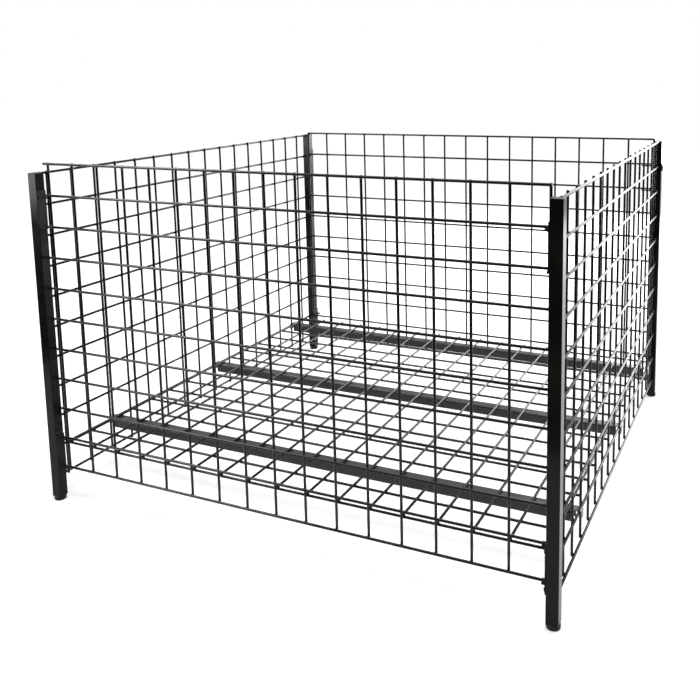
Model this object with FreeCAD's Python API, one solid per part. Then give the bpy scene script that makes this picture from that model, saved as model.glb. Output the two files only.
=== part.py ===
import FreeCAD, Part
import math
import os
from FreeCAD import Vector

# A square shop dump bin of black powder-coated steel. Two welded side frames (posts and
# wire grid) carry a front and a back grid panel on hook brackets, and three folded bars
# that hang on the side grids carry a loose wire shelf.
# Millimetres. Origin: centre of the footprint on the floor. +Z up, front of the bin at -Y.

# Posts: square tube, a lid with a plug at the top and a pressed-in glide at the foot
POST_SECTION = 25.4
LEG_BELOW_GRID = 47.8       # tube's lower end to the side grid's bottom wire centre
POST_WALL = 1.5
POST_CORNER = 1.6           # outer corner radius of the tube
LID_THICKNESS = 1.6
LID_EDGE = 0.7              # bevel of the lid's top edge
PLUG_DEPTH = 14.0           # lid plug inside the tube
PLUG_CLEARANCE = 0.3
GLIDE_DIAMETER = 28.5
GLIDE_HEIGHT = 10.0
GLIDE_EDGE = 2.0            # bevel of the glide's tread
GLIDE_STEM = 20.0           # square stem inside the tube

# Welded wire grids
WIRE = 6.0                  # wire diameter
WIRE_SIDES = 12             # round wire as a many-sided bar, corners on the full diameter
WELD_SET = 0.5              # how far crossing wires sink into each other at a weld
PITCH = 76.2                # mesh, both ways
ROWS = 11                   # level wires in every standing grid
SIDE_OUTSET = 2.7           # side grid's level wires, outwards from the post's centre
SIDE_COLUMNS = 16
SIDE_FIRST_GAP = 17.1       # from the near post's face to the first upright's centre
SIDE_UPRIGHT_RISE = 2.0     # uprights stand this far above the side grid's top wire
PANEL_COLUMNS = 17          # a panel's level wires end flush with its outer uprights,
FRONT_LEFT_STUB = 6.5       # but the front panel's run this far past its left upright
FRONT_PANEL_RISE = 19.8     # front panel's top wire centre above the posts' tops
BACK_PANEL_RISE = 7.6
FRONT_PANEL_GAP = 0.3       # free gap from the front posts to the front panel's wires
BACK_PANEL_GAP = 22.4       # the back panel hangs on longer arms
BACK_PANEL_SHIFT = 12.0     # it sits pushed to the right on its broad hooks

# Hook brackets on the posts' inner faces, one high and one low on each post
BRACKET_SHEET = 2.0
BRACKET_ABOVE = 14.0        # plate above the upper row that it serves
BRACKET_BELOW = 10.0        # plate below the lower row, where that row is hooked
BRACKET_PLAIN_END = 2.0     # plate below the lower row, where it isn't
BRACKET_SIDE_CLEARANCE = 0.6   # plate to the panel's outer upright
HOOK_CLEARANCE = 0.3        # between a hook and the wire that sits in it
HOOK_ARM = 4.5              # height of the arm below the wire
HOOK_TIP = 4.0              # thickness of the upturned tip
HOOK_TIP_RISE = 1.5         # tip's top above the wire's centre
HOOK_EDGE = 1.2             # bevel of the hook's tip and heel
BROAD_HOOK = 11.0           # width of the flat bars that make the rear hooks
CATCH_GAP = 0.6             # free gap round the upright that a hook reaches past
CATCH_WIDTH = 6.0           # the part of such a hook that holds the wire
CATCH_CROSSBAR = 8.0        # width of the crossbar from the arm to it, where nothing limits it
RIB_DEPTH = 2.2             # bars welded across the front plates, level with the rows
RIB_HEIGHT = 6.5
RIB_DROP = 1.2              # rib's centre below the row's centre
RIB_INSET = 1.5             # from both edges of the post's face
RIB_EDGE = 0.8              # bevel along the rib
UPPER_BRACKET_ROW = 1       # first panel row, from the top, that the upper bracket serves
LOWER_BRACKET_ROW = 9

# Bolts that hold the rear upper brackets, with broad low heads outside the posts
BOLT_HEAD_DIAMETER = 24.0
BOLT_HEAD_HEIGHT = 4.6
BOLT_HEAD_EDGE = 2.6        # bevel round the head
BOLT_SHANK = 6.0
BOLT_CLEARANCE = 0.2        # all round the shank
BOLT_BELOW_ROW = 14.0       # bolt centre below the upper row of its bracket

# Shelf bars: upside-down channels whose tongues hook over a side wire
BAR_SHEET = 2.0
BAR_WIDTH = 25.4
BAR_HEIGHT = 25.4
BAR_INNER_BEND = 0.6        # inner radius of the folds
BAR_END_CLEARANCE = 1.5     # bar's body to the side grid's uprights
BAR_SEAT_CLEARANCE = 0.3    # tongue above the side wire
BAR_LEG_CLEARANCE = 1.0     # leg outside the side wire
BAR_LEG = 20.0              # leg below the tongue's top
BAR_BEHIND_UPRIGHT = 3.5    # gap from the left grid's upright to the bar behind it
BAR_COLUMNS = {"front": 2, "middle": 8, "rear": 14}
SHELF_ROW = 9               # side row, from the top, that carries the bars

# Shelf grid, loose on the bars: long wires on top, in line with the panels' uprights, and
# cross wires below them, one beside each upright of the side grid
SHELF_SEAT_CLEARANCE = 0.3
SHELF_SIDE_CLEARANCE = 4.1  # cross wires' ends to the side uprights
SHELF_BAR_CLEARANCE = 1.8   # cross wires ahead of the bars
SHELF_OVERHANG = 4.0        # long wires past the outer cross wires' centres

# Places worked out from the sizes above
WIRE_RADIUS = WIRE / 2
LAYER = WIRE - WELD_SET                      # centre to centre of crossing wires
GRID_HEIGHT = (ROWS - 1) * PITCH
PANEL_HALF = (PANEL_COLUMNS - 1) * PITCH / 2
POST_INNER = PANEL_HALF + WIRE_RADIUS + BRACKET_SIDE_CLEARANCE + BRACKET_SHEET
POST_CENTRE = POST_INNER + POST_SECTION / 2
POST_OUTER = POST_INNER + POST_SECTION
POST_LENGTH = LEG_BELOW_GRID + GRID_HEIGHT + WIRE_RADIUS   # tube and lid together
POST_TOP = GLIDE_HEIGHT + POST_LENGTH
POST_BORE = POST_SECTION - 2 * POST_WALL
BRACKET_INNER = POST_INNER - BRACKET_SHEET
SIDE_LEVEL_X = POST_CENTRE + SIDE_OUTSET
SIDE_UPRIGHT_X = SIDE_LEVEL_X - LAYER
SIDE_TOP_Z = POST_TOP - WIRE_RADIUS
SIDE_FIRST_Y = -POST_INNER + SIDE_FIRST_GAP
FRONT_LEVEL_Y = POST_INNER - FRONT_PANEL_GAP - WIRE_RADIUS
BACK_LEVEL_Y = POST_INNER - BACK_PANEL_GAP - WIRE_RADIUS
FRONT_TOP_Z = POST_TOP + FRONT_PANEL_RISE
BACK_TOP_Z = POST_TOP + BACK_PANEL_RISE
SHELF_SIDE_Z = SIDE_TOP_Z - SHELF_ROW * PITCH
BAR_BEND = BAR_INNER_BEND + BAR_SHEET
BAR_TOP_Z = SHELF_SIDE_Z + WIRE_RADIUS + BAR_SEAT_CLEARANCE + BAR_SHEET
SHELF_LONG_Z = BAR_TOP_Z + SHELF_SEAT_CLEARANCE + WIRE_RADIUS
SHELF_FIRST_Y = SIDE_FIRST_Y + BAR_BEHIND_UPRIGHT - SHELF_BAR_CLEARANCE

EPSILON = 1e-6              # for telling edges apart by their place

X_AXIS = Vector(1, 0, 0)
Y_AXIS = Vector(0, 1, 0)
Z_AXIS = Vector(0, 0, 1)


def span_box(low, high):
    """A block between two opposite corners, given in any order."""
    corner = [min(a, b) for a, b in zip(low, high)]
    size = [abs(a - b) for a, b in zip(low, high)]
    return Part.makeBox(size[0], size[1], size[2], Vector(*corner))


def square_prism(side, height, z, corner=0.0):
    """An upright square prism on the Z axis, with rounded corners where asked."""
    half = side / 2
    prism = span_box((-half, -half, z), (half, half, z + height))
    if corner > 0:
        prism = prism.makeFillet(corner, edges_along(prism, Z_AXIS))
    return prism


def edges_along(shape, axis):
    """The straight edges of a shape that run along an axis."""
    found = []
    for edge in shape.Edges:
        if isinstance(edge.Curve, Part.Line) and edge.Curve.Direction.cross(axis).Length < EPSILON:
            found.append(edge)
    return found


def edges_at_height(shape, z):
    """The edges of a shape that lie wholly at one height."""
    level = [e for e in shape.Edges if e.BoundBox.ZLength < EPSILON]
    return [e for e in level if abs(e.BoundBox.ZMin - z) < EPSILON]


def straight_wire(start, axis, length):
    """One length of wire from a start point along an axis."""
    across = Z_AXIS if abs(axis.z) < 0.5 else X_AXIS
    beside = axis.cross(across)
    corners = []
    for side in range(WIRE_SIDES + 1):
        angle = 2 * math.pi * (side % WIRE_SIDES) / WIRE_SIDES
        corners.append(Vector(*start) + (across * math.cos(angle) + beside * math.sin(angle)) * WIRE_RADIUS)
    return Part.Face(Part.makePolygon(corners)).extrude(axis * length)


def placed(shape, x, y):
    """A copy of an upright piece, moved to a post's centre."""
    piece = shape.copy()
    piece.translate(Vector(x, y, 0))
    return piece


def half_turn(shape):
    """A copy of a shape, turned half round about the bin's upright axis."""
    turned = shape.copy()
    turned.rotate(Vector(0, 0, 0), Z_AXIS, 180)
    return turned


def mirrored_x(shape):
    """The left-hand twin of a right-hand piece."""
    return shape.mirror(Vector(0, 0, 0), X_AXIS)


def mirrored_y(shape):
    """The front twin of a rear piece."""
    return shape.mirror(Vector(0, 0, 0), Y_AXIS)


def post_tube():
    """Square tube, open at both ends, standing on its glide."""
    height = POST_LENGTH - LID_THICKNESS
    outside = square_prism(POST_SECTION, height, GLIDE_HEIGHT, POST_CORNER)
    bore = square_prism(POST_BORE, height, GLIDE_HEIGHT)
    return outside.cut(bore)


def post_lid():
    """Lid flush with the tube's sides, its plug inside the tube."""
    lid = square_prism(POST_SECTION, LID_THICKNESS, POST_TOP - LID_THICKNESS, POST_CORNER)
    lid = lid.makeChamfer(LID_EDGE, edges_at_height(lid, POST_TOP))
    plug_side = POST_BORE - 2 * PLUG_CLEARANCE
    plug = square_prism(plug_side, PLUG_DEPTH, POST_TOP - LID_THICKNESS - PLUG_DEPTH)
    return lid.fuse(plug).removeSplitter()


def post_glide():
    """Round glide under the tube with a square stem pressed up into it."""
    tread = Part.makeCylinder(GLIDE_DIAMETER / 2, GLIDE_HEIGHT)
    tread = tread.makeChamfer(GLIDE_EDGE, edges_at_height(tread, 0))
    stem = square_prism(POST_BORE - 2 * PLUG_CLEARANCE, GLIDE_STEM, GLIDE_HEIGHT)
    return tread.fuse(stem).removeSplitter()


def side_grid():
    """Left side grid: level wires butt against the two posts, uprights stand inside them."""
    wires = []
    for row in range(ROWS):
        z = SIDE_TOP_Z - row * PITCH
        wires.append(straight_wire((-SIDE_LEVEL_X, -POST_INNER, z), Y_AXIS, 2 * POST_INNER))
    bottom = SIDE_TOP_Z - GRID_HEIGHT - WIRE_RADIUS
    height = POST_TOP + SIDE_UPRIGHT_RISE - bottom
    for column in range(SIDE_COLUMNS):
        y = SIDE_FIRST_Y + column * PITCH
        wires.append(straight_wire((-SIDE_UPRIGHT_X, y, bottom), Z_AXIS, height))
    return Part.makeCompound(wires)


def hung_panel(level_y, top_z, shift, left_stub):
    """Front or back panel: level wires on the outer side, uprights flush with top and bottom."""
    inward = -1 if level_y > 0 else 1
    upright_y = level_y + inward * LAYER
    left = shift - PANEL_HALF - WIRE_RADIUS - left_stub
    length = shift + PANEL_HALF + WIRE_RADIUS - left
    wires = []
    for row in range(ROWS):
        wires.append(straight_wire((left, level_y, top_z - row * PITCH), X_AXIS, length))
    bottom = top_z - GRID_HEIGHT - WIRE_RADIUS
    for column in range(PANEL_COLUMNS):
        x = shift - PANEL_HALF + column * PITCH
        wires.append(straight_wire((x, upright_y, bottom), Z_AXIS, GRID_HEIGHT + WIRE))
    return Part.makeCompound(wires)


def hook(level_y, z, inner, outer, root):
    """A hook of a right rear bracket, from one X to another: an arm under the panel's wire
    that starts at its root, and an upturned tip beyond the wire."""
    seat = z - WIRE_RADIUS - HOOK_CLEARANCE
    reach = level_y - WIRE_RADIUS - HOOK_CLEARANCE
    arm = span_box((inner, root, seat - HOOK_ARM), (outer, reach - HOOK_TIP, seat))
    tip = span_box((inner, reach, seat), (outer, reach - HOOK_TIP, z + HOOK_TIP_RISE))
    blank = arm.fuse(tip).removeSplitter()
    end_edges = [e for e in edges_along(blank, X_AXIS) if e.BoundBox.YMax < reach - HOOK_TIP + EPSILON]
    return blank.makeChamfer(HOOK_EDGE, end_edges)


def reaching_hook(level_y, z, arm_inner, arm_outer, root, upright_x, crossbar):
    """A hook that holds a wire whose end is flush with an upright beside the arm: a crossbar
    runs inwards behind that upright, and the hook proper stands on the upright's other side."""
    seat = z - WIRE_RADIUS - HOOK_CLEARANCE
    near = level_y - LAYER + WIRE_RADIUS + CATCH_GAP
    catch_outer = upright_x - WIRE_RADIUS - CATCH_GAP
    catch_inner = catch_outer - CATCH_WIDTH
    catch = hook(level_y, z, catch_inner, catch_outer, near + crossbar)
    across = span_box((catch_inner, near, seat - HOOK_ARM), (arm_outer, near + crossbar, seat))
    arm = span_box((arm_inner, near, seat - HOOK_ARM), (arm_outer, root, seat))
    return catch.fuse([across, arm])


def plate(rows, below):
    """Plate of a right rear bracket, flat on the post's inner face."""
    low = (BRACKET_INNER, POST_INNER, rows[-1] - below)
    high = (POST_INNER, POST_OUTER, rows[0] + BRACKET_ABOVE)
    return span_box(low, high)


def rib(z):
    """A short bar welded across a front bracket's plate, level with a panel row."""
    middle = z - RIB_DROP
    low = (BRACKET_INNER - RIB_DEPTH, POST_INNER + RIB_INSET, middle - RIB_HEIGHT / 2)
    high = (BRACKET_INNER, POST_OUTER - RIB_INSET, middle + RIB_HEIGHT / 2)
    bar = span_box(low, high)
    inner_edges = [e for e in bar.Edges if e.BoundBox.XMax < BRACKET_INNER - RIB_DEPTH + EPSILON]
    return bar.makeChamfer(RIB_EDGE, inner_edges)


def bracket_rows(top_z, first_row):
    """Heights of the two panel rows that a bracket serves."""
    return [top_z - first_row * PITCH, top_z - (first_row + 1) * PITCH]


def rear_bracket(first_row):
    """Right rear bracket: two flat bars across the plate reach forward and round the panel's
    outer upright. The left one is its twin, and there the panel's wires end at the upright."""
    rows = bracket_rows(BACK_TOP_Z, first_row)
    arm = (BRACKET_INNER - BROAD_HOOK, BRACKET_INNER, POST_OUTER - RIB_INSET)
    upright_x = PANEL_HALF - BACK_PANEL_SHIFT
    hooks = [reaching_hook(BACK_LEVEL_Y, z, *arm, upright_x, CATCH_CROSSBAR) for z in rows]
    return plate(rows, BRACKET_BELOW).fuse(hooks).removeSplitter()


def front_bracket(first_row, hook_count, reaching):
    """Front bracket, made as a right rear one and mirrored: narrow hooks cut from the plate,
    and a rib at each row. The right one reaches round the panel's upright to its wires."""
    rows = bracket_rows(FRONT_TOP_Z, first_row)
    below = BRACKET_BELOW if hook_count == len(rows) else BRACKET_PLAIN_END
    pieces = [rib(z) for z in rows]
    arm = (BRACKET_INNER, POST_INNER, POST_INNER)
    crossbar = POST_INNER - FRONT_LEVEL_Y + LAYER - WIRE_RADIUS - CATCH_GAP
    for z in rows[:hook_count]:
        if reaching:
            pieces.append(reaching_hook(FRONT_LEVEL_Y, z, *arm, PANEL_HALF, crossbar))
        else:
            pieces.append(hook(FRONT_LEVEL_Y, z, *arm))
    return mirrored_y(plate(rows, below).fuse(pieces).removeSplitter())


def bolt_hole():
    """Cutter for the bolt's hole, through the right rear post and its upper bracket."""
    radius = BOLT_SHANK / 2 + BOLT_CLEARANCE
    start = Vector(POST_INNER - 2 * BRACKET_SHEET, POST_CENTRE, bolt_z())
    return Part.makeCylinder(radius, POST_SECTION + 3 * BRACKET_SHEET, start, X_AXIS)


def bolt_z():
    """Height of the rear bolts."""
    return BACK_TOP_Z - UPPER_BRACKET_ROW * PITCH - BOLT_BELOW_ROW


def bolt():
    """Right rear bolt: low broad head outside the post, shank through to the bracket."""
    outside = Vector(POST_OUTER, POST_CENTRE, bolt_z())
    head = Part.makeCylinder(BOLT_HEAD_DIAMETER / 2, BOLT_HEAD_HEIGHT, outside, X_AXIS)
    rim = [e for e in head.Edges if e.BoundBox.XMin > POST_OUTER + BOLT_HEAD_HEIGHT - EPSILON]
    head = head.makeChamfer(BOLT_HEAD_EDGE, rim)
    start = Vector(BRACKET_INNER, POST_CENTRE, bolt_z())
    shank = Part.makeCylinder(BOLT_SHANK / 2, POST_SECTION + BRACKET_SHEET, start, X_AXIS)
    return head.fuse(shank).removeSplitter()


def round_topped(half_length, half_width, top, bottom, radius):
    """A block along X, centred on Y = 0, with its two upper edges rounded."""
    block = span_box((-half_length, -half_width, bottom), (half_length, half_width, top))
    upper = [e for e in edges_along(block, X_AXIS) if e.BoundBox.ZMin > top - EPSILON]
    return block.makeFillet(radius, upper)


def channel(half_length):
    """An upside-down channel along X, centred on Y = 0, folded from one sheet."""
    bottom = BAR_TOP_Z - BAR_HEIGHT
    outside = round_topped(half_length, BAR_WIDTH / 2, BAR_TOP_Z, bottom, BAR_BEND)
    half_bore = BAR_WIDTH / 2 - BAR_SHEET
    inside = round_topped(half_length, half_bore, BAR_TOP_Z - BAR_SHEET, bottom, BAR_INNER_BEND)
    return outside.cut(inside)


def shelf_bar(column):
    """Channel between the side grids, with a tongue at each end hooked over a side wire."""
    y = SIDE_FIRST_Y + column * PITCH + WIRE_RADIUS + BAR_BEHIND_UPRIGHT + BAR_WIDTH / 2
    half = SIDE_UPRIGHT_X - WIRE_RADIUS - BAR_END_CLEARANCE
    bar = channel(half)
    bar.translate(Vector(0, y, 0))
    right = bar_tongue(half, y)
    left = right.mirror(Vector(0, 0, 0), X_AXIS)
    return bar.fuse([right, left]).removeSplitter()


def bar_tongue(start, y):
    """Right end of a shelf bar: the top sheet runs over the side wire and turns down."""
    width = BAR_WIDTH - 2 * BAR_SHEET
    leg_inner = SIDE_LEVEL_X + WIRE_RADIUS + BAR_LEG_CLEARANCE
    leg_outer = leg_inner + BAR_SHEET
    near = y - width / 2
    far = y + width / 2
    sheet = span_box((start, near, BAR_TOP_Z - BAR_SHEET), (leg_outer, far, BAR_TOP_Z))
    leg = span_box((leg_inner, near, BAR_TOP_Z - BAR_LEG), (leg_outer, far, BAR_TOP_Z - BAR_SHEET))
    tongue = sheet.fuse(leg).removeSplitter()
    folds = edges_along(tongue, Y_AXIS)
    folds = [e for e in folds if e.BoundBox.XMin > leg_outer - EPSILON]
    outer = [e for e in folds if e.BoundBox.ZMin > BAR_TOP_Z - EPSILON]
    tongue = tongue.makeFillet(BAR_BEND, outer)
    underside = BAR_TOP_Z - BAR_SHEET
    folds = [e for e in edges_along(tongue, Y_AXIS) if abs(e.BoundBox.ZMin - underside) < EPSILON]
    inner = [e for e in folds if abs(e.BoundBox.XMin - leg_inner) < EPSILON]
    return tongue.makeFillet(BAR_INNER_BEND, inner)


def shelf_grid():
    """Loose shelf: long wires on top lie on the bars, cross wires pass between the bars."""
    half = SIDE_UPRIGHT_X - WIRE_RADIUS - SHELF_SIDE_CLEARANCE
    cross_z = SHELF_LONG_Z - LAYER
    wires = []
    for row in range(SIDE_COLUMNS):
        y = SHELF_FIRST_Y + row * PITCH
        wires.append(straight_wire((-half, y, cross_z), X_AXIS, 2 * half))
    start = SHELF_FIRST_Y - SHELF_OVERHANG
    length = (SIDE_COLUMNS - 1) * PITCH + 2 * SHELF_OVERHANG
    for column in range(PANEL_COLUMNS):
        x = -PANEL_HALF + column * PITCH
        wires.append(straight_wire((x, start, SHELF_LONG_Z), Y_AXIS, length))
    return Part.makeCompound(wires)


def build_posts(parts):
    """Four posts with their lids and glides; the rear posts are drilled for their bolts."""
    tube = post_tube()
    lid = post_lid()
    glide = post_glide()
    glides = []
    for depth, y in (("front", -POST_CENTRE), ("rear", POST_CENTRE)):
        for side, x in (("left", -POST_CENTRE), ("right", POST_CENTRE)):
            corner = depth + "_" + side
            parts["post_" + corner] = placed(tube, x, y)
            parts["post_lid_" + corner] = placed(lid, x, y)
            glides.append(placed(glide, x, y))
    parts["foot_glides"] = Part.makeCompound(glides)
    hole = bolt_hole()
    parts["post_rear_right"] = parts["post_rear_right"].cut(hole)
    parts["post_rear_left"] = parts["post_rear_left"].cut(mirrored_x(hole))


def build_brackets(parts):
    """Hook brackets, high and low on every post, and the rear bolts."""
    for height, row, front_hooks in (("upper", UPPER_BRACKET_ROW, 1), ("lower", LOWER_BRACKET_ROW, 2)):
        rear = rear_bracket(row)
        if height == "upper":
            rear = rear.cut(bolt_hole())
        parts["panel_bracket_rear_right_" + height] = rear
        parts["panel_bracket_rear_left_" + height] = mirrored_x(rear)
        parts["panel_bracket_front_right_" + height] = front_bracket(row, front_hooks, True)
        parts["panel_bracket_front_left_" + height] = mirrored_x(front_bracket(row, front_hooks, False))
    parts["bracket_bolts"] = Part.makeCompound([bolt(), mirrored_x(bolt())])


def build():
    """Every piece of the bin by name."""
    parts = {}
    build_posts(parts)
    build_brackets(parts)
    left = side_grid()
    parts["side_grid_left"] = left
    parts["side_grid_right"] = half_turn(left)
    parts["front_grid"] = hung_panel(-FRONT_LEVEL_Y, FRONT_TOP_Z, 0, FRONT_LEFT_STUB)
    parts["back_grid"] = hung_panel(BACK_LEVEL_Y, BACK_TOP_Z, BACK_PANEL_SHIFT, 0)
    for place, column in BAR_COLUMNS.items():
        parts["shelf_bar_" + place] = shelf_bar(column)
    parts["shelf_grid"] = shelf_grid()
    return parts


os.makedirs("parts", exist_ok=True)
for name, shape in build().items():
    shape.exportStep(os.path.join("parts", name + ".step"))
    print(name, len(shape.Solids), "solids", round(shape.Volume / 1000, 1), "cm3")
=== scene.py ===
# %% [markdown]
# This script dresses a square wire dump bin, the kind that shops fill with loose goods.
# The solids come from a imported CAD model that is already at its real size, so everything
# here is in metres and in the model's own frame: +Z up, the front of the bin at -Y, the
# floor at Z = 0. The bin is plain black powder-coated steel, so its looks come from three
# things: truly round wires with their welds, small parts with soft edges, and a coat that
# is nearly black but picks up light along every edge.

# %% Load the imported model
import math

import bmesh
import bpy
from mathutils import Matrix, Vector


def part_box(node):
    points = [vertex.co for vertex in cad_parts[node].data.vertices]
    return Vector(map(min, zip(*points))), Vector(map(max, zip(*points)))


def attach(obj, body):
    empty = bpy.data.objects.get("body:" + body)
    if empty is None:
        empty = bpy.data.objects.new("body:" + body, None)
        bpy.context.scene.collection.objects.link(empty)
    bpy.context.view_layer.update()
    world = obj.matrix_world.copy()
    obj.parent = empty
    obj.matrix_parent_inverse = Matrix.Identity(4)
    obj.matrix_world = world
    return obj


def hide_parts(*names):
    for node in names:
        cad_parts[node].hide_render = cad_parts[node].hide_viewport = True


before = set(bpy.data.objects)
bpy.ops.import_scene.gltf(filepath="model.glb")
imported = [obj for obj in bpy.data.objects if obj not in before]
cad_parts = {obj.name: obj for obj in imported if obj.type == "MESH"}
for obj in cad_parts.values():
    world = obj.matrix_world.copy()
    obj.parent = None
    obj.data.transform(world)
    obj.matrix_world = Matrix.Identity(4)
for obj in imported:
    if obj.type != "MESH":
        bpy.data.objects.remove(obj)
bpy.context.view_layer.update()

MM = 0.001

# %% [markdown]
# The camera stands in front of the bin, past its right side and a little above its rim, so
# that its front, its right side and its shelf all show. A view camera's front can be
# shifted to keep upright lines nearly upright while it looks slightly down, and Blender's
# shift does the same. The shift is kept moderate, because every other view of the bin
# inherits it. The focal length is written for a 36 mm wide sensor, and the shift is a share
# of the picture's width.

# %% Camera
PICTURE_PX = 700
FOCAL_PX = 843.4
AXIS_PX = (398.0, 195.0)    # where the optical axis meets the picture, from its top left
SENSOR_MM = 36.0
CAMERA_PLACE = (0.9862, -2.0740, 1.0436)
TILT_DOWN = math.radians(8.240)
TURN_LEFT = math.radians(24.788)
ROLL = math.radians(-0.913)

camera_data = bpy.data.cameras.new("camera")
camera_data.sensor_width = SENSOR_MM
camera_data.lens = SENSOR_MM * FOCAL_PX / PICTURE_PX
camera_data.shift_x = (PICTURE_PX / 2 - AXIS_PX[0]) / PICTURE_PX
camera_data.shift_y = (AXIS_PX[1] - PICTURE_PX / 2) / PICTURE_PX
camera = bpy.data.objects.new("camera", camera_data)
camera.location = CAMERA_PLACE
level_aim = Matrix.Rotation(TURN_LEFT, 3, "Z") @ Matrix.Rotation(math.pi / 2 - TILT_DOWN, 3, "X")
camera.rotation_euler = (level_aim @ Matrix.Rotation(ROLL, 3, "Z")).to_euler()
bpy.context.scene.collection.objects.link(camera)
bpy.context.scene.camera = camera
bpy.context.scene.view_settings.view_transform = "Standard"
print("lens", round(camera_data.lens, 1), "mm")
print("shift", round(camera_data.shift_x, 3), round(camera_data.shift_y, 3))

# %% [markdown]
# Every finish on the bin is built from the same few moves. A noise, read in the object's
# own metres so that nothing stretches, drives a colour ramp for the tone, a stretched range
# for the gloss and a bump for the fine surface. Each move is a small function, and what is
# the same all over a surface, such as the strength of its reflection, is set on the shader
# itself.

# %% Node helpers
NOISE_MIDDLE = (0.3, 0.7)   # nearly all of a noise lies between these
TONE_SPAN = (0.35, 0.70)    # the part of a noise over which a tone changes


def link(tree, source, output, target, entry):
    """Join one node's output to another node's input."""
    tree.links.new(source.outputs[output], target.inputs[entry])


def new_finish(name, reflection):
    """A material, its node tree and its shader."""
    material = bpy.data.materials.new(name)
    material.use_nodes = True
    tree = material.node_tree
    shader = tree.nodes["Principled BSDF"]
    shader.inputs["Specular IOR Level"].default_value = reflection
    return material, tree, shader


def noise_on(tree, coords, scale, detail):
    """Noise with this many patches to the metre."""
    noise = tree.nodes.new("ShaderNodeTexNoise")
    noise.inputs["Scale"].default_value = scale
    noise.inputs["Detail"].default_value = detail
    link(tree, coords, "Object", noise, "Vector")
    return noise


def ramp_between(tree, dark, light, span):
    """A colour ramp from one colour to another over a span."""
    ramp = tree.nodes.new("ShaderNodeValToRGB")
    for stop, position, colour in zip(ramp.color_ramp.elements, span, (dark, light)):
        stop.position = position
        stop.color = (*colour, 1)
    return ramp


def drifting_tone(tree, coords, scale, dark, light):
    """A colour that wanders between two tones."""
    tone = ramp_between(tree, dark, light, TONE_SPAN)
    link(tree, noise_on(tree, coords, scale, detail=3.0), "Fac", tone, "Fac")
    return tone


def uneven_gloss(tree, coords, shader, scale, gloss):
    """A roughness that wanders between two values."""
    sheen = tree.nodes.new("ShaderNodeMapRange")
    sheen.inputs["From Min"].default_value, sheen.inputs["From Max"].default_value = NOISE_MIDDLE
    sheen.inputs["To Min"].default_value, sheen.inputs["To Max"].default_value = gloss
    link(tree, noise_on(tree, coords, scale, detail=4.0), "Fac", sheen, "Value")
    link(tree, sheen, "Result", shader, "Roughness")


def fine_bumps(tree, coords, shader, size, depth, strength):
    """Small even bumps all over the surface."""
    bumps = tree.nodes.new("ShaderNodeBump")
    bumps.inputs["Strength"].default_value = strength
    bumps.inputs["Distance"].default_value = depth
    link(tree, noise_on(tree, coords, 1.0 / size, detail=2.0), "Fac", bumps, "Height")
    link(tree, bumps, "Normal", shader, "Normal")


# %% [markdown]
# Powder coat is a baked plastic skin. It isn't a flat black: its tone drifts a little over
# a hand's width, its gloss changes with the thickness of the coat, and its surface has the
# fine dimples that painters call orange peel. One function builds the finish, and each kind
# of part asks for its own tone, gloss and dimples, because thick wire, tube and folded
# sheet take the powder differently.

# %% Powder coat
PEEL_DEPTH = 0.12 * MM
TONE_SCALE = 9.0            # patches to the metre
GLOSS_SCALE = 38.0


def powder_coat(name, dark, light, gloss, peel_size, peel, reflection):
    """Baked coat: drifting tone, uneven gloss and a fine orange peel."""
    material, tree, shader = new_finish(name, reflection)
    coords = tree.nodes.new("ShaderNodeTexCoord")
    tone = drifting_tone(tree, coords, TONE_SCALE, dark, light)
    link(tree, tone, "Color", shader, "Base Color")
    uneven_gloss(tree, coords, shader, GLOSS_SCALE, gloss)
    fine_bumps(tree, coords, shader, peel_size, PEEL_DEPTH, peel)
    print(name, len(tree.nodes), "nodes")
    return material


POST_COAT = powder_coat(
    "post_coat", dark=(0.0040, 0.0036, 0.0030), light=(0.0085, 0.0080, 0.0066),
    gloss=(0.12, 0.19), peel_size=1.6 * MM, peel=0.08, reflection=0.11)
WIRE_COAT = powder_coat(
    "wire_coat", dark=(0.0024, 0.0020, 0.0017), light=(0.0060, 0.0050, 0.0043),
    gloss=(0.22, 0.32), peel_size=1.2 * MM, peel=0.05, reflection=0.22)
BAR_COAT = powder_coat(
    "bar_coat", dark=(0.0070, 0.0064, 0.0054), light=(0.0150, 0.0140, 0.0120),
    gloss=(0.26, 0.36), peel_size=1.6 * MM, peel=0.08, reflection=0.34)
BRACKET_COAT = powder_coat(
    "bracket_coat", dark=(0.0035, 0.0032, 0.0028), light=(0.0080, 0.0074, 0.0064),
    gloss=(0.30, 0.44), peel_size=1.6 * MM, peel=0.10, reflection=0.12)

# %% [markdown]
# Every new piece is modelled in a bmesh and becomes one object at the origin, with its
# place in its mesh, as it is for the CAD nodes. Shapes that repeat, such as wires and
# welds, are made once as a small blank and then stamped wherever one is needed: the blank
# is added to the piece's bmesh and the new vertices are moved into place.

# %% Blanks, stamps and finished pieces
def blank_from(bm, name):
    """Keep a small shape as a mesh that can be stamped many times."""
    bmesh.ops.recalc_face_normals(bm, faces=bm.faces)
    blank = bpy.data.meshes.new(name)
    bm.to_mesh(blank)
    bm.free()
    return blank


def stamp(bm, blank, placings):
    """Add a blank to a bmesh once for every placing matrix."""
    for place in placings:
        known = len(bm.verts)
        bm.from_mesh(blank)
        bm.verts.ensure_lookup_table()
        bmesh.ops.transform(bm, matrix=place, verts=bm.verts[known:])


def piece_from(bm, name, material):
    """Make one object at the origin from a bmesh."""
    bmesh.ops.recalc_face_normals(bm, faces=bm.faces)
    mesh = bpy.data.meshes.new(name)
    bm.to_mesh(mesh)
    bm.free()
    mesh.materials.append(material)
    piece = bpy.data.objects.new(name, mesh)
    bpy.context.scene.collection.objects.link(piece)
    print(name, len(mesh.polygons), "faces")
    return piece


def stand_for(piece, body, slot, *nodes):
    """Let a piece ride on a body and replace CAD nodes; slot is not used."""
    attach(piece, body)
    for node in nodes:
        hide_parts(node)


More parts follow.
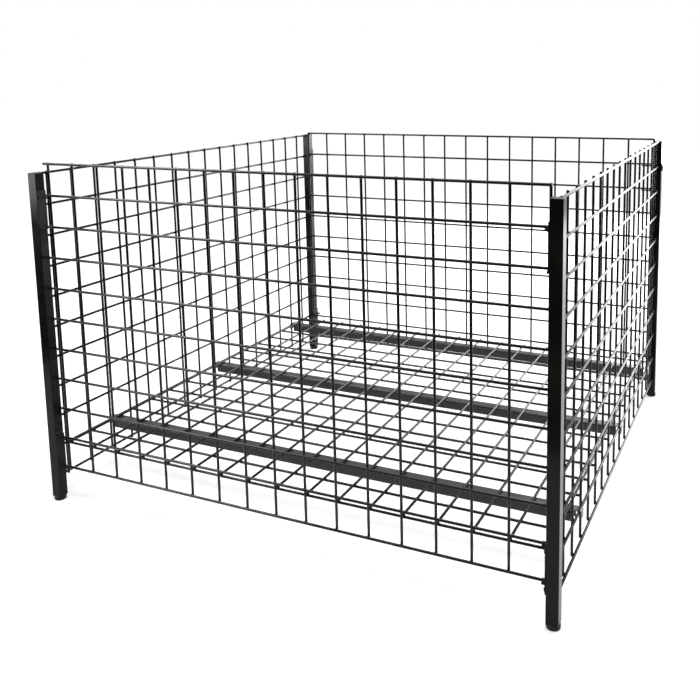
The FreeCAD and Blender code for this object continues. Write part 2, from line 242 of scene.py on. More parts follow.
def corners(node):
    """Lowest and highest corner of a CAD node."""
    low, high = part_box(node)
    return Vector(low), Vector(high)


# %% [markdown]
# Two more moves serve every shape. A small round bevel takes the place of each sharp edge,
# because no coated or moulded edge is truly sharp. Smooth shading then hides the facets of
# round forms, while flat caps are left out of it, so that they don't look domed.

# %% Edges and shading
def round_edges(bm, edges, radius, segments, clamp_overlap=False):
    """Bevel some edges with a round profile."""
    bmesh.ops.bevel(
        bm, geom=edges, offset=radius, segments=segments, profile=0.5,
        affect="EDGES", material=-1, clamp_overlap=clamp_overlap)


def shade_smooth(bm, cap_sides=math.inf):
    """Smooth every face but flat caps, which have this many sides."""
    for face in bm.faces:
        face.smooth = len(face.verts) < cap_sides


# %% [markdown]
# Each grid on the bin is welded from straight drawn wire. The CAD solids are twelve-sided
# bars, which is right for collisions but shows facets in a close view, so round wires stand
# for them. One wire is a cone with equal ends, which gives a clean closed cylinder, and its
# two rims are bevelled as the shears and the coat leave them. Curves with a round bevel
# would look the same, but they can't have soft rims on flat ends.

# %% One round wire
WIRE_RADIUS = 3.0 * MM
WIRE_SIDES = 20
RIM_ROUNDING = 0.7 * MM


def wire_blank(length):
    """A round wire along Z, centred on the origin, with soft rims."""
    bm = bmesh.new()
    bmesh.ops.create_cone(
        bm, cap_ends=True, segments=WIRE_SIDES, radius1=WIRE_RADIUS,
        radius2=WIRE_RADIUS, depth=length)
    rims = [e for e in bm.edges if any(len(f.verts) == WIRE_SIDES for f in e.link_faces)]
    round_edges(bm, rims, RIM_ROUNDING, segments=2)
    shade_smooth(bm, WIRE_SIDES)
    return blank_from(bm, "wire_blank")


def comb(bm, start, end, step, count):
    """A row of equal wires, each one step beyond the last."""
    run = end - start
    turn = run.to_track_quat("Z", "Y").to_matrix().to_4x4()
    blank = wire_blank(run.length)
    middle = (start + end) / 2
    stamp(bm, blank, [Matrix.Translation(middle + step * n) @ turn for n in range(count)])
    bpy.data.meshes.remove(blank)


print("wire", round(2 * WIRE_RADIUS / MM, 1), "mm thick,", WIRE_SIDES, "sides")

# %% [markdown]
# Crossing wires are resistance welded: a current melts both where they touch, they sink
# half a millimetre into each other, and a small collar of metal is squeezed out into the
# corners, which the coat then rounds. A flattened ball at each crossing, mostly hidden
# inside the two wires, fills the corners in the same way. There are about a thousand of
# them, so each has only forty faces.

# %% Weld collars
COLLAR_WIDE = 3.9 * MM
COLLAR_DEEP = 1.6 * MM
COLLAR_DROP = 0.9 * MM      # collars on an edge wire sit this much towards the grid


def collar_blank():
    """The squeezed-out metal at one crossing, flat along Z."""
    bm = bmesh.new()
    bmesh.ops.create_uvsphere(bm, u_segments=8, v_segments=5, radius=1.0)
    bmesh.ops.scale(bm, vec=(COLLAR_WIDE, COLLAR_WIDE, COLLAR_DEEP), verts=bm.verts)
    shade_smooth(bm)
    return blank_from(bm, "collar_blank")


def inwards(place, count):
    """1 at the first of a row, -1 at the last, else 0."""
    return (place == 0) - (place == count - 1)


def weld_crossings(bm, first, column_step, columns, row_step, rows):
    """Collars at every crossing of a grid; they lie flat in the plane of the two steps.
    At the grid's outer wires the metal is squeezed inwards, so nothing stands past them."""
    flat_along = column_step.cross(row_step)
    turn = flat_along.to_track_quat("Z", "Y").to_matrix().to_4x4()
    blank = collar_blank()
    placings = []
    for column in range(columns):
        for row in range(rows):
            middle = first + column_step * column + row_step * row
            middle += column_step.normalized() * COLLAR_DROP * inwards(column, columns)
            middle += row_step.normalized() * COLLAR_DROP * inwards(row, rows)
            placings.append(Matrix.Translation(middle) @ turn)
    stamp(bm, blank, placings)
    bpy.data.meshes.remove(blank)
    return len(placings)


# %% [markdown]
# The two hung panels are alike: seventeen uprights and eleven level wires, with the level
# wires on the outside. All places come from the CAD node's box, so the round wires lie
# exactly on the solids. The right ends of the level wires are flush with the last upright,
# which is therefore one wire's radius inside the box.

# %% Front and back panels
PITCH = 76.2 * MM
ROWS = 11
PANEL_COLUMNS = 17
X_STEP = Vector((PITCH, 0, 0))
DOWN_STEP = Vector((0, 0, -PITCH))


def hung_panel(node, body):
    """Round-wire copy of the front or back grid."""
    low, high = corners(node)
    outward = -1 if low.y < 0 else 1
    outer_y = low.y if low.y < 0 else high.y
    inner_y = high.y if low.y < 0 else low.y
    level_y = outer_y - outward * WIRE_RADIUS
    upright_y = inner_y + outward * WIRE_RADIUS
    top = high.z - WIRE_RADIUS
    first_x = high.x - WIRE_RADIUS - (PANEL_COLUMNS - 1) * PITCH
    bm = bmesh.new()
    comb(bm, Vector((low.x, level_y, top)), Vector((high.x, level_y, top)), DOWN_STEP, ROWS)
    foot = Vector((first_x, upright_y, low.z))
    comb(bm, foot, Vector((first_x, upright_y, high.z)), X_STEP, PANEL_COLUMNS)
    first = Vector((first_x, (level_y + upright_y) / 2, top))
    welds = weld_crossings(bm, first, X_STEP, PANEL_COLUMNS, DOWN_STEP, ROWS)
    piece = piece_from(bm, node + "_wires", WIRE_COAT)
    stand_for(piece, body, "wire_grids", node)
    print(node, ROWS, "level wires,", PANEL_COLUMNS, "uprights,", welds, "welds")


hung_panel("front_grid", "front_panel")
hung_panel("back_grid", "back_panel")

# %% [markdown]
# A side grid has no frame of its own: its level wires run from post to post and are welded
# end-on to the posts' faces, each with a small round fillet. Its sixteen uprights stand
# inside the level wires, and their tips rise just above the top one. The row of uprights
# starts nearer one post, and the right grid is the left one turned half round, so its row
# starts at the other end.

# %% End welds
FILLET_RADIUS = 4.4 * MM
FILLET_LENGTH = 2.0 * MM


def fillet_blank():
    """The weld round a wire's end, its wide side down on the post."""
    bm = bmesh.new()
    bmesh.ops.create_cone(
        bm, cap_ends=True, segments=WIRE_SIDES, radius1=FILLET_RADIUS,
        radius2=WIRE_RADIUS, depth=FILLET_LENGTH)
    bmesh.ops.translate(bm, vec=(0, 0, FILLET_LENGTH / 2), verts=bm.verts)
    shade_smooth(bm, WIRE_SIDES)
    return blank_from(bm, "fillet_blank")


def weld_ends(bm, near_end, far_end, step, count):
    """Fillets where a row of level wires meets the posts at its two ends."""
    along = (far_end - near_end).normalized()
    near_turn = along.to_track_quat("Z", "X").to_matrix().to_4x4()
    far_turn = (-along).to_track_quat("Z", "X").to_matrix().to_4x4()
    blank = fillet_blank()
    for n in range(count):
        stamp(bm, blank, [Matrix.Translation(near_end + step * n) @ near_turn])
        stamp(bm, blank, [Matrix.Translation(far_end + step * n) @ far_turn])
    bpy.data.meshes.remove(blank)


# %% Side grids
SIDE_COLUMNS = 16
Y_STEP = Vector((0, PITCH, 0))
FIRST_GAP = 17.1 * MM       # post's face to the first upright
post_top = corners("post_lid_front_left")[1].z


def side_grid(node, outward):
    """Round-wire copy of a side grid; outward is -1 on the left and 1 on the right."""
    low, high = corners(node)
    outer_x = low.x if outward < 0 else high.x
    inner_x = high.x if outward < 0 else low.x
    level_x = outer_x - outward * WIRE_RADIUS
    upright_x = inner_x + outward * WIRE_RADIUS
    top = post_top - WIRE_RADIUS
    front_end = Vector((level_x, low.y, top))
    back_end = Vector((level_x, high.y, top))
    first_y = low.y + FIRST_GAP if outward < 0 else high.y - FIRST_GAP
    step = Y_STEP * -outward
    bm = bmesh.new()
    comb(bm, front_end, back_end, DOWN_STEP, ROWS)
    weld_ends(bm, front_end, back_end, DOWN_STEP, ROWS)
    foot = Vector((upright_x, first_y, low.z))
    comb(bm, foot, Vector((upright_x, first_y, high.z)), step, SIDE_COLUMNS)
    first = Vector(((level_x + upright_x) / 2, first_y, top))
    welds = weld_crossings(bm, first, step, SIDE_COLUMNS, DOWN_STEP, ROWS)
    piece = piece_from(bm, node + "_wires", WIRE_COAT)
    stand_for(piece, "frame", "wire_grids", node)
    print(node, ROWS, "level wires,", SIDE_COLUMNS, "uprights,", welds, "welds")


side_grid("side_grid_left", -1)
side_grid("side_grid_right", 1)

# %% [markdown]
# The shelf is one more welded grid, laid loose on three bars. Its long wires are on top and
# its cross wires hang below them, between the bars.

# %% Shelf
SHELF_OVERHANG = 4.0 * MM   # long wires past the outer cross wires


def shelf():
    """Round-wire copy of the shelf grid."""
    low, high = corners("shelf_grid")
    long_z = high.z - WIRE_RADIUS
    cross_z = low.z + WIRE_RADIUS
    first_y = low.y + SHELF_OVERHANG
    first_x = -(PANEL_COLUMNS - 1) / 2 * PITCH
    bm = bmesh.new()
    cross_end = Vector((high.x, first_y, cross_z))
    comb(bm, Vector((low.x, first_y, cross_z)), cross_end, Y_STEP, SIDE_COLUMNS)
    long_end = Vector((first_x, high.y, long_z))
    comb(bm, Vector((first_x, low.y, long_z)), long_end, X_STEP, PANEL_COLUMNS)
    first = Vector((first_x, first_y, (long_z + cross_z) / 2))
    welds = weld_crossings(bm, first, X_STEP, PANEL_COLUMNS, Y_STEP, SIDE_COLUMNS)
    piece = piece_from(bm, "shelf_grid_wires", WIRE_COAT)
    stand_for(piece, "shelf", "wire_grids", "shelf_grid")
    print("shelf", PANEL_COLUMNS, "long wires,", SIDE_COLUMNS, "cross wires,", welds, "welds")


shelf()

# %% [markdown]
# The posts are square tube, the brackets are small plates with hooks, and the three bars
# under the shelf are folded channels with a tongue at each end. All have the right shape in
# the CAD model, but their edges are perfectly sharp, and a coated edge never is. A copy of
# the solid's mesh is merged, its flat faces are joined again, and a fine bevel runs along
# every sharp edge. Weighted normals then keep the big faces flat in the light while the
# bevels shine. The solid's own mesh is left as it is, and the copy stands for it.

# %% Soft-edged copies of solids
POSTS = ("front_left", "front_right", "rear_left", "rear_right")
MERGE_WITHIN = 0.001 * MM   # points nearer than this become one
SHARP = math.radians(50)
FLAT = math.radians(1)
BIG_FACES_DECIDE = 100      # the modifier's highest weight


def weigh_normals(piece):
    """Let the big faces decide the normals at their edges."""
    piece.modifiers.new("weighted_normals", "WEIGHTED_NORMAL").weight = BIG_FACES_DECIDE


def soft_copy(node, body, slot, material, rounding):
    """Stand-in for a CAD node with finely rounded edges."""
    bm = bmesh.new()
    bm.from_mesh(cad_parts[node].data)
    bmesh.ops.remove_doubles(bm, verts=bm.verts, dist=MERGE_WITHIN)
    bmesh.ops.dissolve_limit(bm, angle_limit=FLAT, verts=bm.verts, edges=bm.edges)
    sharp = [e for e in bm.edges if e.is_manifold and e.calc_face_angle() > SHARP]
    round_edges(bm, sharp, rounding, segments=2, clamp_overlap=True)
    shade_smooth(bm)
    piece = piece_from(bm, node + "_soft", material)
    weigh_normals(piece)
    stand_for(piece, body, slot, node)


for corner in POSTS:
    soft_copy("post_" + corner, "frame", "posts", POST_COAT, rounding=0.25 * MM)
    for height in ("_upper", "_lower"):
        bracket = "panel_bracket_" + corner + height
        soft_copy(bracket, "frame", "brackets", BRACKET_COAT, rounding=0.3 * MM)
for place in ("front", "middle", "rear"):
    soft_copy("shelf_bar_" + place, place + "_bar", "shelf_bars", BAR_COAT, rounding=0.3 * MM)

# %% [markdown]
# Six of the brackets are welded to their posts; the two upper rear ones are bolted. A weld
# bead is a row of small overlapping drops, one for each dip of the welder's rod, in the
# corner between the plate's end and the post. One small ball, stamped seven times in a
# row, gives the scaly look of stacked coins.

# %% Bracket welds
DROP_RADIUS = 1.3 * MM
DROP_STEP = 1.9 * MM
DROPS = 7
BOLTED = ("rear_left_upper", "rear_right_upper")


def drop_blank():
    """One drop of weld metal."""
    bm = bmesh.new()
    bmesh.ops.create_uvsphere(bm, u_segments=12, v_segments=7, radius=DROP_RADIUS)
    shade_smooth(bm)
    return blank_from(bm, "drop_blank")


def bead_places(bracket, post):
    """Where the drops of a bracket's upper and lower bead go."""
    plate_low, plate_high = corners(bracket)
    post_low, post_high = corners(post)
    face_x = post_low.x if post_low.x > 0 else post_high.x
    middle_y = (post_low.y + post_high.y) / 2
    places = []
    for z in (plate_low.z, plate_high.z):
        for n in range(DROPS):
            along = (n - (DROPS - 1) / 2) * DROP_STEP
            places.append(Matrix.Translation((face_x, middle_y + along, z)))
    return places


bead_bm = bmesh.new()
drop = drop_blank()
for corner in POSTS:
    for height in ("_upper", "_lower"):
        if corner + height not in BOLTED:
            places = bead_places("panel_bracket_" + corner + height, "post_" + corner)
            stamp(bead_bm, drop, places)
bpy.data.meshes.remove(drop)
beads = piece_from(bead_bm, "bracket_weld_beads", BRACKET_COAT)
stand_for(beads, "frame", "brackets")

# %% [markdown]
# The lids and glides are injection moulded in black polyethylene. Its skin is softer than
# the coat: a fine even grain from the spark-eroded mould, a waxy gloss, and grey scuffs on
# the tread, where the foot has been pushed over the floor. The scuffs are a noise that
# fades out upwards, so the lids, high above the floor, get none.

# %% Moulded plastic
PLASTIC_DARK = (0.0060, 0.0058, 0.0056)
PLASTIC_LIGHT = (0.0130, 0.0126, 0.0120)
PLASTIC_GLOSS = (0.46, 0.60)
GRAIN_SIZE = 0.6 * MM
GRAIN_DEPTH = 0.05 * MM
SCUFF_GREY = (0.09, 0.088, 0.084, 1)
SCUFF_TOP = 5 * MM
SCUFF_MOST = 0.7            # how far a scuff hides the black at the floor
SCUFF_SPAN = (0.48, 0.62)   # the part of the noise in which scuffs begin and end


def floor_scuffs(tree, coords):
    """1 in a full scuff, 0 on clean plastic; the scuffs fade out upwards."""
    place = tree.nodes.new("ShaderNodeSeparateXYZ")
    link(tree, coords, "Object", place, "Vector")
    near_floor = tree.nodes.new("ShaderNodeMapRange")
    near_floor.inputs["From Max"].default_value = SCUFF_TOP
    near_floor.inputs["To Min"].default_value = SCUFF_MOST
    near_floor.inputs["To Max"].default_value = 0.0
    link(tree, place, "Z", near_floor, "Value")
    scuff_mask = ramp_between(tree, (0, 0, 0), (1, 1, 1), SCUFF_SPAN)
    link(tree, noise_on(tree, coords, scale=260.0, detail=5.0), "Fac", scuff_mask, "Fac")
    scuffs = tree.nodes.new("ShaderNodeMath")
    scuffs.operation = "MULTIPLY"
    link(tree, near_floor, "Result", scuffs, 0)
    link(tree, scuff_mask, "Color", scuffs, 1)
    return scuffs


def moulded_plastic(name):
    """Grained black plastic with scuffs close to the floor."""
    material, tree, shader = new_finish(name, reflection=0.20)
    coords = tree.nodes.new("ShaderNodeTexCoord")
    tone = drifting_tone(tree, coords, scale=60.0, dark=PLASTIC_DARK, light=PLASTIC_LIGHT)
    scuffed = tree.nodes.new("ShaderNodeMix")
    scuffed.data_type = "RGBA"
    link(tree, floor_scuffs(tree, coords), "Value", scuffed, "Factor")
    link(tree, tone, "Color", scuffed, "A")
    scuffed.inputs["B"].default_value = SCUFF_GREY
    link(tree, scuffed, "Result", shader, "Base Color")
    uneven_gloss(tree, coords, shader, scale=120.0, gloss=PLASTIC_GLOSS)
    fine_bumps(tree, coords, shader, GRAIN_SIZE, GRAIN_DEPTH, strength=0.3)
    print(name, len(tree.nodes), "nodes")
    return material


LID_PLASTIC = moulded_plastic("lid_plastic")
GLIDE_PLASTIC = moulded_plastic("glide_plastic")

# %% [markdown]
# A lid closes the top of each tube: a plate flush with the tube's sides, with a plug that
# is pressed into the bore. The plate starts as a cube. Its upright edges are bevelled to
# the tube's corner radius and its top rim is rounded, as the mould leaves it, and the top
# is raised by a hair, because a dead flat moulding would sink in the middle as it cools.

# %% Post lids
LID_CORNER = 1.6 * MM
LID_RIM = 0.7 * MM
LID_PLATE = 1.6 * MM
LID_CROWN = 0.15 * MM
PLUG_GAP = 1.8 * MM         # from the lid's side to the plug's
PLUG_CORNER = 0.8 * MM
PLUG_LEAD_IN = 0.6 * MM
LEVEL_WITHIN = 0.01 * MM    # heights nearer than this are the same
AIMED = 0.99                # a unit vector with this much along an axis lies along it


def block(low, high, corner_radius):
    """A box between two corners, its upright edges rounded."""
    bm = bmesh.new()
    bmesh.ops.create_cube(bm, size=1.0)
    bmesh.ops.scale(bm, vec=high - low, verts=bm.verts)
    bmesh.ops.translate(bm, vec=(low + high) / 2, verts=bm.verts)
    upright = [e for e in bm.edges
               if abs((e.verts[0].co - e.verts[1].co).normalized().z) > AIMED]
    round_edges(bm, upright, corner_radius, segments=4)
    return bm


def rim_at(bm, z):
    """The edges that lie at one height."""
    return [e for e in bm.edges if all(abs(v.co.z - z) < LEVEL_WITHIN for v in e.verts)]


def lid_plate(low, high):
    """The plate that shows, slightly crowned."""
    flat_top = high.z - LID_CROWN
    underside = high.z - LID_PLATE
    bm = block(Vector((low.x, low.y, underside)), Vector((high.x, high.y, flat_top)), LID_CORNER)
    round_edges(bm, rim_at(bm, flat_top), LID_RIM, segments=3)
    top = [f for f in bm.faces
           if f.normal.z > AIMED and f.calc_center_median().z > flat_top - LEVEL_WITHIN]
    bmesh.ops.poke(bm, faces=top, offset=LID_CROWN, use_relative_offset=False)
    return bm


def plug_blank(low, high):
    """The plug inside the tube, its lower end rounded to lead it in."""
    plug_low = Vector((low.x + PLUG_GAP, low.y + PLUG_GAP, low.z))
    plug_high = Vector((high.x - PLUG_GAP, high.y - PLUG_GAP, high.z - LID_PLATE))
    bm = block(plug_low, plug_high, PLUG_CORNER)
    round_edges(bm, rim_at(bm, low.z), PLUG_LEAD_IN, segments=2)
    return blank_from(bm, "plug_blank")


def post_lid(corner):
    """Lid and plug of one post."""
    low, high = corners("post_lid_" + corner)
    bm = lid_plate(low, high)
    plug = plug_blank(low, high)
    bm.from_mesh(plug)
    bpy.data.meshes.remove(plug)
    shade_smooth(bm)
    piece = piece_from(bm, "post_lid_" + corner + "_moulded", LID_PLASTIC)
    weigh_normals(piece)
    stand_for(piece, "frame", "post_lids", "post_lid_" + corner)


for corner in POSTS:
    post_lid(corner)

# %% [markdown]
# A glide is the foot under each post: a round tread a little wider than the tube, and a
# square stem pressed up into the bore. The tread is round, so half of its outline is drawn
# once and spun round its axis. The outline has a rounded tread edge, a shallow groove where
# the two halves of the mould met, and a small step up to the end of the tube.

# %% Foot glides
TURNED_STEPS = 48
GLIDE_RADIUS = 14.25 * MM
GLIDE_HEIGHT = 10 * MM
TREAD_ROUNDING = 2 * MM
TREAD_RING = 4 * MM         # a ring of points this far in keeps the tread flat in the light
GROOVE_Z = 6.2 * MM
GROOVE_DEPTH = 0.5 * MM
GROOVE_HALF = 0.6 * MM      # half of its mouth's height
GROOVE_FLOOR_HALF = 0.2 * MM
SHOULDER = 0.9 * MM
SHOULDER_MIDDLE = (0.3 * MM, 0.25 * MM)     # in from the rim and down from the top
STEM_LEAD_IN = 1.2 * MM


def turned(outline):
    """Spin a half outline of radius and height pairs once round the Z axis."""
    bm = bmesh.new()
    points = [bm.verts.new((radius, 0, height)) for radius, height in outline]
    edges = [bm.edges.new(pair) for pair in zip(points, points[1:])]
    bmesh.ops.spin(
        bm, geom=points + edges, cent=(0, 0, 0), axis=(0, 0, 1), angle=math.tau,
        steps=TURNED_STEPS, use_merge=True, use_duplicate=False)
    bmesh.ops.remove_doubles(bm, verts=bm.verts, dist=MERGE_WITHIN)
    return bm


def tread_blank():
    """The turned tread, from its middle up to the shoulder's middle."""
    rim = GLIDE_RADIUS
    edge = [(rim - TREAD_ROUNDING + TREAD_ROUNDING * math.sin(angle),
             TREAD_ROUNDING - TREAD_ROUNDING * math.cos(angle))
            for angle in (math.radians(degrees) for degrees in (0, 30, 60, 90))]
    groove = [(rim, GROOVE_Z - GROOVE_HALF), (rim - GROOVE_DEPTH, GROOVE_Z - GROOVE_FLOOR_HALF),
              (rim - GROOVE_DEPTH, GROOVE_Z + GROOVE_FLOOR_HALF), (rim, GROOVE_Z + GROOVE_HALF)]
    shoulder = [(rim, GLIDE_HEIGHT - SHOULDER),
                (rim - SHOULDER_MIDDLE[0], GLIDE_HEIGHT - SHOULDER_MIDDLE[1]),
                (rim - SHOULDER, GLIDE_HEIGHT)]
    bm = turned([(0, 0), (rim - TREAD_RING, 0)] + edge + groove + shoulder + [(0, GLIDE_HEIGHT)])
    shade_smooth(bm)
    return blank_from(bm, "tread_blank")


def stem_blank(top):
    """The square stem, its top rounded to lead it into the bore."""
    post_low, post_high = corners("post_front_left")
    half = (post_high.x - post_low.x) / 2 - PLUG_GAP
    bm = block(Vector((-half, -half, GLIDE_HEIGHT)), Vector((half, half, top)), PLUG_CORNER)
    round_edges(bm, rim_at(bm, top), STEM_LEAD_IN, segments=2)
    return blank_from(bm, "stem_blank")


def foot_glides():
    """All four glides, as one piece."""
    tread = tread_blank()
    stem = stem_blank(corners("foot_glides")[1].z)
    places = []
    for corner in POSTS:
        low, high = corners("post_" + corner)
        places.append(Matrix.Translation(((low.x + high.x) / 2, (low.y + high.y) / 2, 0)))
    bm = bmesh.new()
    stamp(bm, tread, places)
    stamp(bm, stem, places)
    bpy.data.meshes.remove(tread)
    bpy.data.meshes.remove(stem)
    piece = piece_from(bm, "foot_glides_moulded", GLIDE_PLASTIC)
    weigh_normals(piece)
    stand_for(piece, "frame", "glides", "foot_glides")


foot_glides()

# %% [markdown]
# The two upper rear brackets are held by furniture bolts: a broad, low, domed head with a
# hexagon socket, outside the post. The dome is turned like the glides. The flat in its
# middle is then a ring of points on a circle; moving each of them inwards until it lies on
# a hexagon gives the socket's mouth, and pushing that face in gives its depth. The bolts
# are blackened steel, which reflects more than the coat and has a finer skin, so the same
# finish serves with other values.

# %% Bracket bolts
HEAD_RADIUS = 12 * MM
HEAD_HEIGHT = 4.6 * MM
HEAD_DOME_MM = ((0, 0), (0, 1.2), (0.5, 2.1), (2.2, 3.5), (5.0, 4.4))   # in from the rim, and up
SHANK_RADIUS = 3 * MM
SHANK_TIP = 0.5 * MM
SHANK_END = corners("post_rear_right")[0].x - 2 * MM     # the bracket's inner side
SOCKET_FLAT = 2.5 * MM      # from the axis to each flat of the hexagon
SOCKET_DEPTH = 3.0 * MM
SOCKET_LEAN = 0.02 * MM     # how much narrower the socket is at its floor
MOUTH_RADIUS = SOCKET_FLAT + 1.5 * MM
MOUTH_RING = 1.0 * MM       # width of the ring between the dome and the hexagon's points

BOLT_STEEL = powder_coat(
    "bolt_steel", dark=(0.0080, 0.0078, 0.0076), light=(0.0190, 0.0184, 0.0178),
    gloss=(0.26, 0.42), peel_size=0.9 * MM, peel=0.12, reflection=0.55)


def on_hexagon(point, flat):
    """The point moved towards the Z axis until it lies on a hexagon."""
    angle = math.atan2(point.y, point.x)
    sector = math.pi / 3
    past_flat = (angle + sector / 2) % sector - sector / 2
    radius = flat / math.cos(past_flat)
    return Vector((radius * math.cos(angle), radius * math.sin(angle), point.z))


def bolt_blank(post_outer):
    """A bolt that points down Z; its head's underside is at Z = 0."""
    tip = SHANK_END - post_outer
    shank = [(0, tip), (SHANK_RADIUS - SHANK_TIP, tip),
             (SHANK_RADIUS, tip + SHANK_TIP), (SHANK_RADIUS, 0)]
    dome = [(HEAD_RADIUS - inset * MM, height * MM) for inset, height in HEAD_DOME_MM]
    bm = turned(shank + dome + [(MOUTH_RADIUS, HEAD_HEIGHT)])
    open_rim = [e for e in bm.edges if e.is_boundary]
    socket = bmesh.ops.contextual_create(bm, geom=open_rim)["faces"]
    bmesh.ops.inset_region(bm, faces=socket, thickness=MOUTH_RING)
    for vert in socket[0].verts:
        vert.co = on_hexagon(vert.co, SOCKET_FLAT)
    bmesh.ops.inset_region(bm, faces=socket, thickness=SOCKET_LEAN)
    for vert in socket[0].verts:
        vert.co.z -= SOCKET_DEPTH
    shade_smooth(bm)
    return blank_from(bm, "bolt_blank")


def bracket_bolts():
    """Both bolts, as one piece."""
    low, high = corners("bracket_bolts")
    post_low, post_high = corners("post_rear_right")
    axis_y = (post_low.y + post_high.y) / 2
    axis_z = (low.z + high.z) / 2
    blank = bolt_blank(post_high.x)
    bm = bmesh.new()
    for side in (1, -1):
        place = Matrix.Translation((side * post_high.x, axis_y, axis_z))
        stamp(bm, blank, [place @ Matrix.Rotation(side * math.pi / 2, 4, "Y")])
    bpy.data.meshes.remove(blank)
    piece = piece_from(bm, "bracket_bolts_turned", BOLT_STEEL)
    weigh_normals(piece)
    stand_for(piece, "frame", "bolts", "bracket_bolts")


bracket_bolts()

# %% [markdown]
# The bin stands on a plain white floor in a white surround. The floor is a real surface
# that takes the bin's shadow. A little light of its own, seen only by the camera and in
# reflections, lifts it to the white of the surround without putting more light on the bin.

# %% Floor
FLOOR_HALF = 30.0
FLOOR_WHITE = (0.86, 0.86, 0.86, 1)
FLOOR_ROUGHNESS = 0.9
NEAR = 1.3                  # the lamps light the floor as far as this from its middle,
FAR = 4.5                   # and reach no further than this
LIFT_NEAR = 0.30
LIFT_FAR = 0.62
WHITE = (1, 1, 1, 1)


def joined(tree, operation, first, first_output, second, second_output):
    """A math node on two other nodes' outputs."""
    node = tree.nodes.new("ShaderNodeMath")
    node.operation = operation
    link(tree, first, first_output, node, 0)
    link(tree, second, second_output, node, 1)
    return node


def seen_directly(tree):
    """1 for camera, glossy and transmitted rays, else 0."""
    path = tree.nodes.new("ShaderNodeLightPath")
    camera_or_glossy = joined(tree, "MAXIMUM", path, "Is Camera Ray", path, "Is Glossy Ray")
    return joined(tree, "MAXIMUM", camera_or_glossy, "Value", path, "Is Transmission Ray")


floor_material, floor_tree, floor_shader = new_finish("studio_floor", reflection=0.0)
floor_shader.inputs["Base Color"].default_value = FLOOR_WHITE
floor_shader.inputs["Roughness"].default_value = FLOOR_ROUGHNESS
floor_shader.inputs["Emission Color"].default_value = WHITE

floor_coords = floor_tree.nodes.new("ShaderNodeTexCoord")
from_middle = floor_tree.nodes.new("ShaderNodeVectorMath")
from_middle.operation = "LENGTH"
link(floor_tree, floor_coords, "Object", from_middle, "Vector")
floor_lift = floor_tree.nodes.new("ShaderNodeMapRange")
floor_lift.interpolation_type = "SMOOTHSTEP"
floor_lift.inputs["From Min"].default_value = NEAR
floor_lift.inputs["From Max"].default_value = FAR
floor_lift.inputs["To Min"].default_value = LIFT_NEAR
floor_lift.inputs["To Max"].default_value = LIFT_FAR
link(floor_tree, from_middle, "Value", floor_lift, "Value")
seen_lift = joined(
    floor_tree, "MULTIPLY", seen_directly(floor_tree), "Value", floor_lift, "Result")
link(floor_tree, seen_lift, "Value", floor_shader, "Emission Strength")

floor_bm = bmesh.new()
bmesh.ops.create_grid(floor_bm, x_segments=4, y_segments=4, size=FLOOR_HALF)
floor = piece_from(floor_bm, "studio_floor", floor_material)

# %% Surround
AMBIENT = 0.45              # its light on matt surfaces; where it is seen it is 1, white

world = bpy.data.worlds.new("surround")
world.use_nodes = True
bpy.context.scene.world = world
world_tree = world.node_tree
background = world_tree.nodes["Background"]
background.inputs["Color"].default_value = WHITE
world_level = world_tree.nodes.new("ShaderNodeMapRange")
world_level.inputs["To Min"].default_value = AMBIENT
world_level.inputs["To Max"].default_value = 1.0
link(world_tree, seen_directly(world_tree), "Value", world_level, "Value")
link(world_tree, world_level, "Result", background, "Strength")
print("surround: white where it is seen,", AMBIENT, "on matt surfaces")

# %% [markdown]
# Black paint shows almost no colour of its own, so the lamps are placed for what the paint
# mirrors. A softbox behind the right side makes the right-hand posts and wires flash nearly
# white. A small one overhead lights the tops. A strip high over the left front, which lights
# nothing matt and is only mirrored, draws a grey line along the level wires that fades out
# to the right. A low, weak one in front on the left is mirrored in the top of the left post.

# %% Lamps
def softbox(name, place, target, width, height, watts):
    """A soft rectangular lamp that looks at a point."""
    lamp_data = bpy.data.lights.new(name, "AREA")
    lamp_data.shape = "RECTANGLE"
    lamp_data.size = width
    lamp_data.size_y = height
    lamp_data.energy = watts
    lamp = bpy.data.objects.new(name, lamp_data)
    lamp.location = place
    toward = Vector(target) - Vector(place)
    lamp.rotation_euler = toward.to_track_quat("-Z", "Y").to_euler()
    lamp.visible_camera = False
    bpy.context.scene.collection.objects.link(lamp)
    print(name, watts, "W")
    return lamp


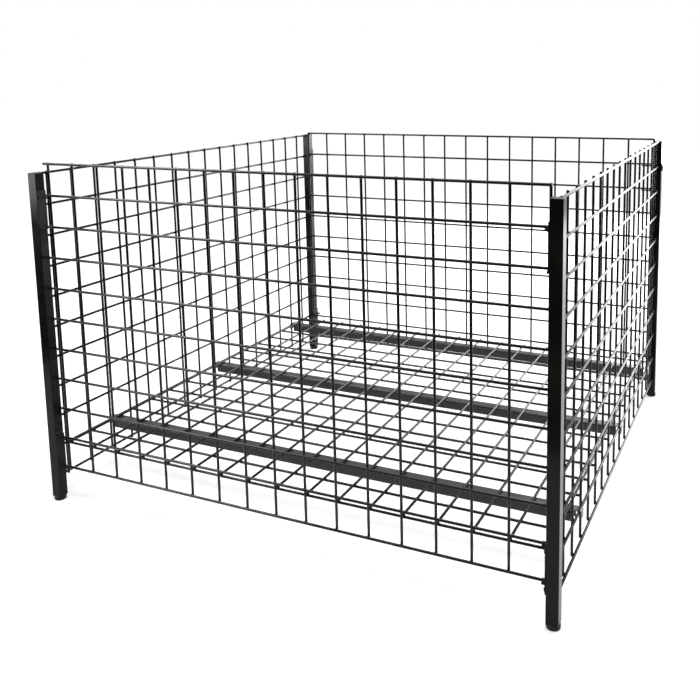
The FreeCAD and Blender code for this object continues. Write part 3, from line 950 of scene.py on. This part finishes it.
softbox(
    "rear_right_softbox", place=(1.6, 3.4, 1.75), target=(0.63, 0.0, 0.7),
    width=3.4, height=2.9, watts=290)
softbox(
    "overhead_softbox", place=(0.1, -0.7, 2.9), target=(0, 0, 0.45),
    width=1.6, height=1.2, watts=60)
strip = softbox(
    "overhead_strip", place=(-2.6, -1.3, 2.8), target=(-2.6, -0.6, 0.4),
    width=2.6, height=1.6, watts=315)
strip.visible_diffuse = False
softbox(
    "left_front_softbox", place=(-3.1, -2.8, 0.85), target=(-0.64, -0.64, 0.6),
    width=1.2, height=1.1, watts=40)

# %% [markdown]
# In a white room even black paint looks grey, because it mirrors white from every side.
# Photographers answer with black cards, which light nothing and only give the paint
# something dark to mirror. Two cards lie on the floor, in front of the bin and on its
# right, and two stand behind them. The camera doesn't see them, and they throw no shadow.

# %% Black cards
CARD_BLACK = (0.01, 0.01, 0.01, 1)
CARD_FAR = 7.0              # how far out the standing cards are
CARD_NEAR = 1.35            # where the front floor card starts
CARD_RIGHT = 2.4            # where the right floor card starts
CARD_REAR = 5.5             # how far back the right cards reach
CARD_HEIGHT = 6.0
CARD_LIFT = 2 * MM

card_material, _, card_shader = new_finish("black_card", reflection=0.0)
card_shader.inputs["Base Color"].default_value = CARD_BLACK
card_shader.inputs["Roughness"].default_value = 1.0


def black_card(name, low, high):
    """A level or upright card between two opposite corners that only reflections see."""
    if low[2] == high[2]:
        outline = (low, (high[0], low[1], low[2]), high, (low[0], high[1], low[2]))
    else:
        outline = (low, (high[0], high[1], low[2]), high, (low[0], low[1], high[2]))
    bm = bmesh.new()
    bm.faces.new([bm.verts.new(place) for place in outline])
    card = piece_from(bm, name, card_material)
    card.visible_camera = False
    card.visible_shadow = False
    card.visible_diffuse = False


far_corner = (-CARD_FAR, -CARD_FAR, CARD_LIFT)
black_card("front_floor_card", far_corner, (CARD_FAR, -CARD_NEAR, CARD_LIFT))
black_card("front_standing_card", far_corner, (CARD_FAR, -CARD_FAR, CARD_HEIGHT))
black_card(
    "right_floor_card", (CARD_RIGHT, -CARD_NEAR, CARD_LIFT), (CARD_FAR, CARD_REAR, CARD_LIFT))
black_card(
    "right_standing_card", (CARD_FAR, -CARD_FAR, CARD_LIFT), (CARD_FAR, CARD_REAR, CARD_HEIGHT))
